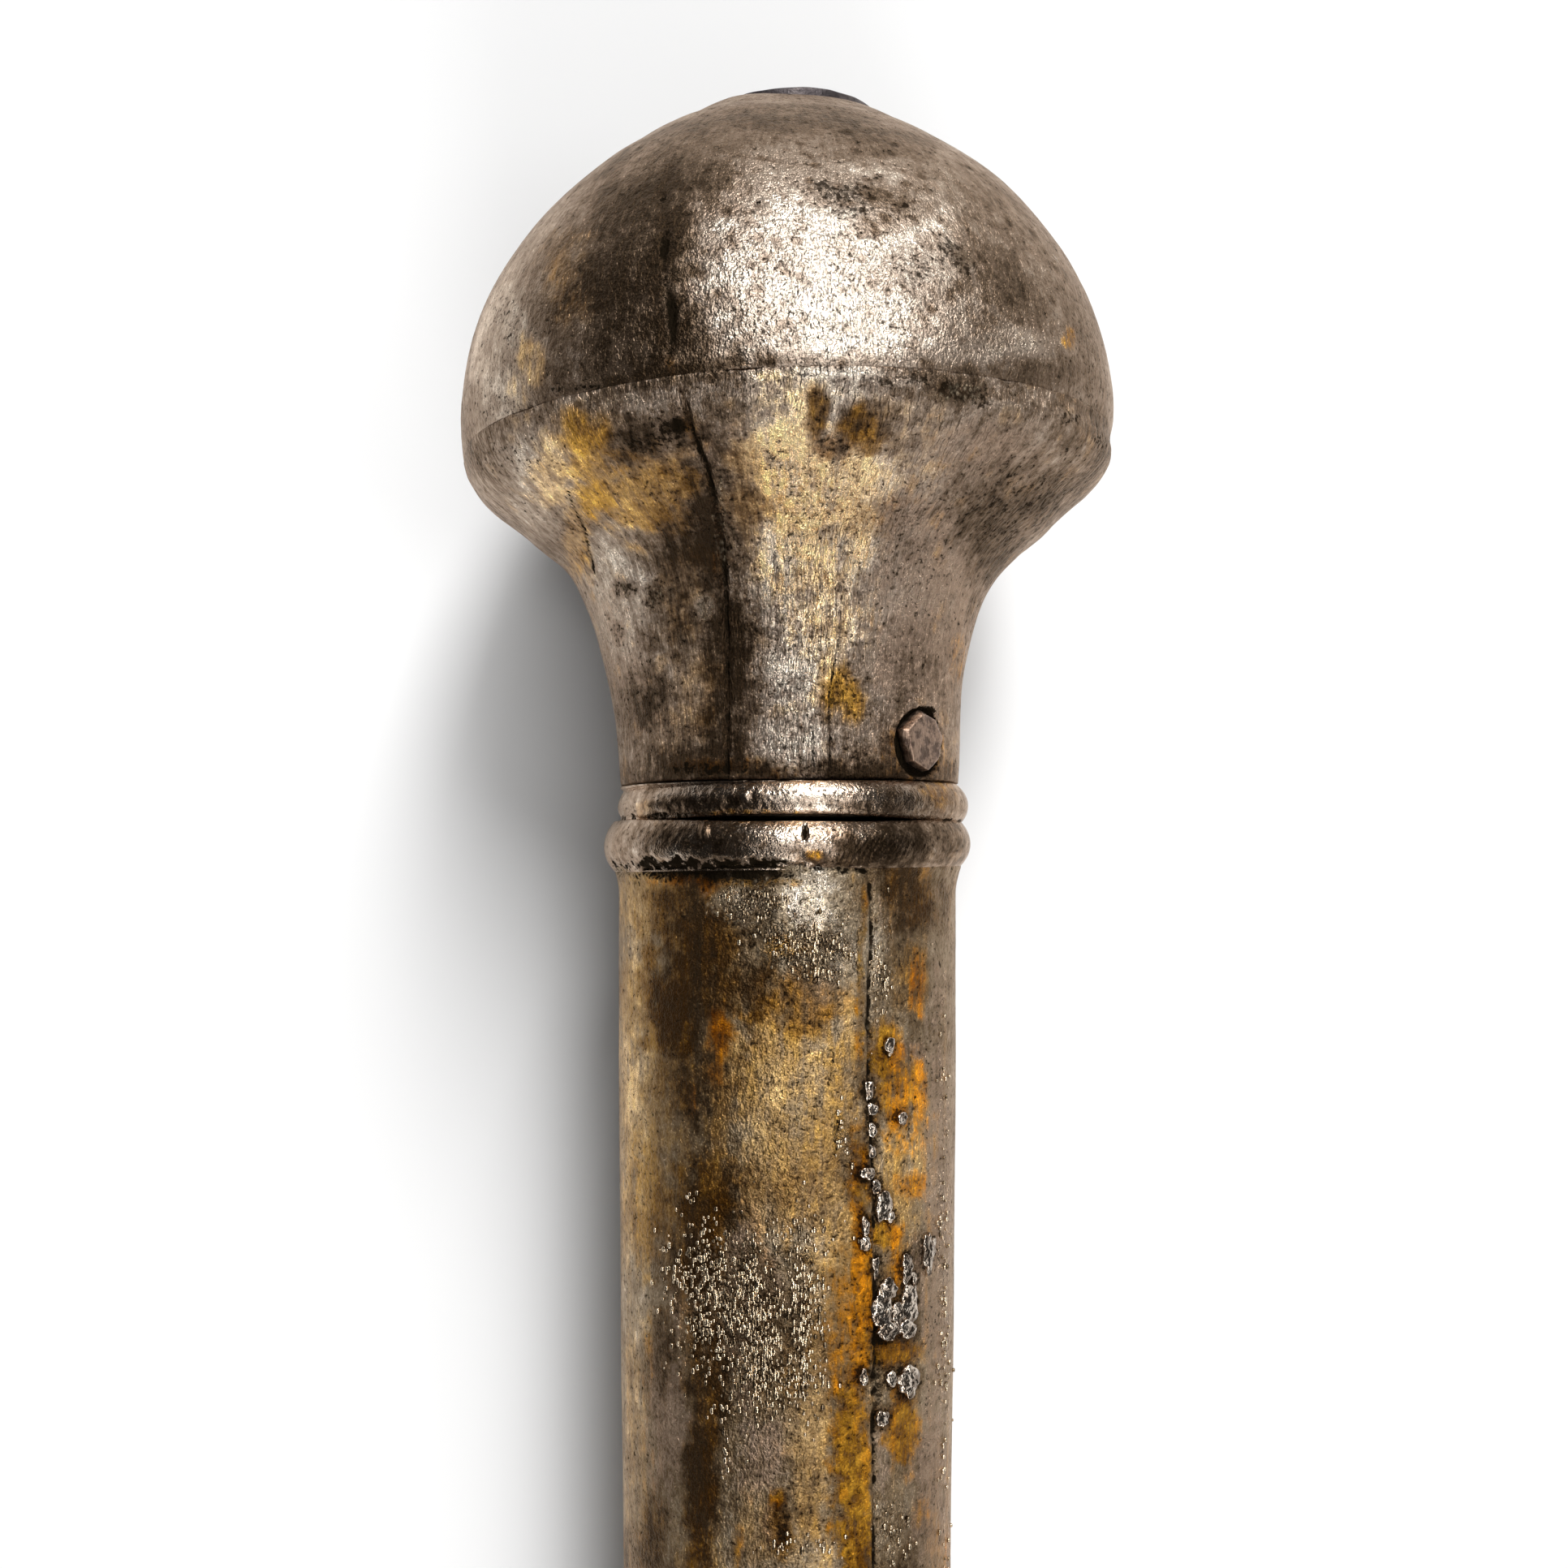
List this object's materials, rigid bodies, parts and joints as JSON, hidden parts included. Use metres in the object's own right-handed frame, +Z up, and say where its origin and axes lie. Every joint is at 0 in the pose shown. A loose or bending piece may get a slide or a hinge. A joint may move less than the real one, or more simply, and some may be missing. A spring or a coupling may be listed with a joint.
{
  "type": "scepter",
  "caption": "Slender metal scepter lying on its side: hemispherical domed head on a flared neck, ringed joint, long tapering round shaft with a ringed and capped foot.",
  "frame": {"origin": "middle of the scepter's length and width, on the surface that it lies on", "axes": "+Y along the scepter towards its head, +Z up, +X to the right of someone who looks towards the head; the shaft's axis is tilted 2.2 degrees, head end higher"},
  "size_m": [0.06, 0.5056, 0.0597],
  "materials": {
    "silver": "worn silver with brown patina, pits, grime in the seams and traces of gilding",
    "gilded_silver": "thin, worn gilding over silver, with solder splashes, rust and smoke stains along a lapped seam",
    "blackened_metal": "dark grey-violet tarnish",
    "copper_alloy": "dull copper alloy, filed by hand"
  },
  "bodies": {
    "root": {"head_dome": "silver", "crown_plate": "blackened_metal", "head_neck": "silver", "neck_rivet": "copper_alloy", "neck_ring": "silver", "shaft_collar": "silver", "shaft": "gilded_silver", "foot_ring": "silver", "foot_cap": "silver"}
  },
  "joints": []
}
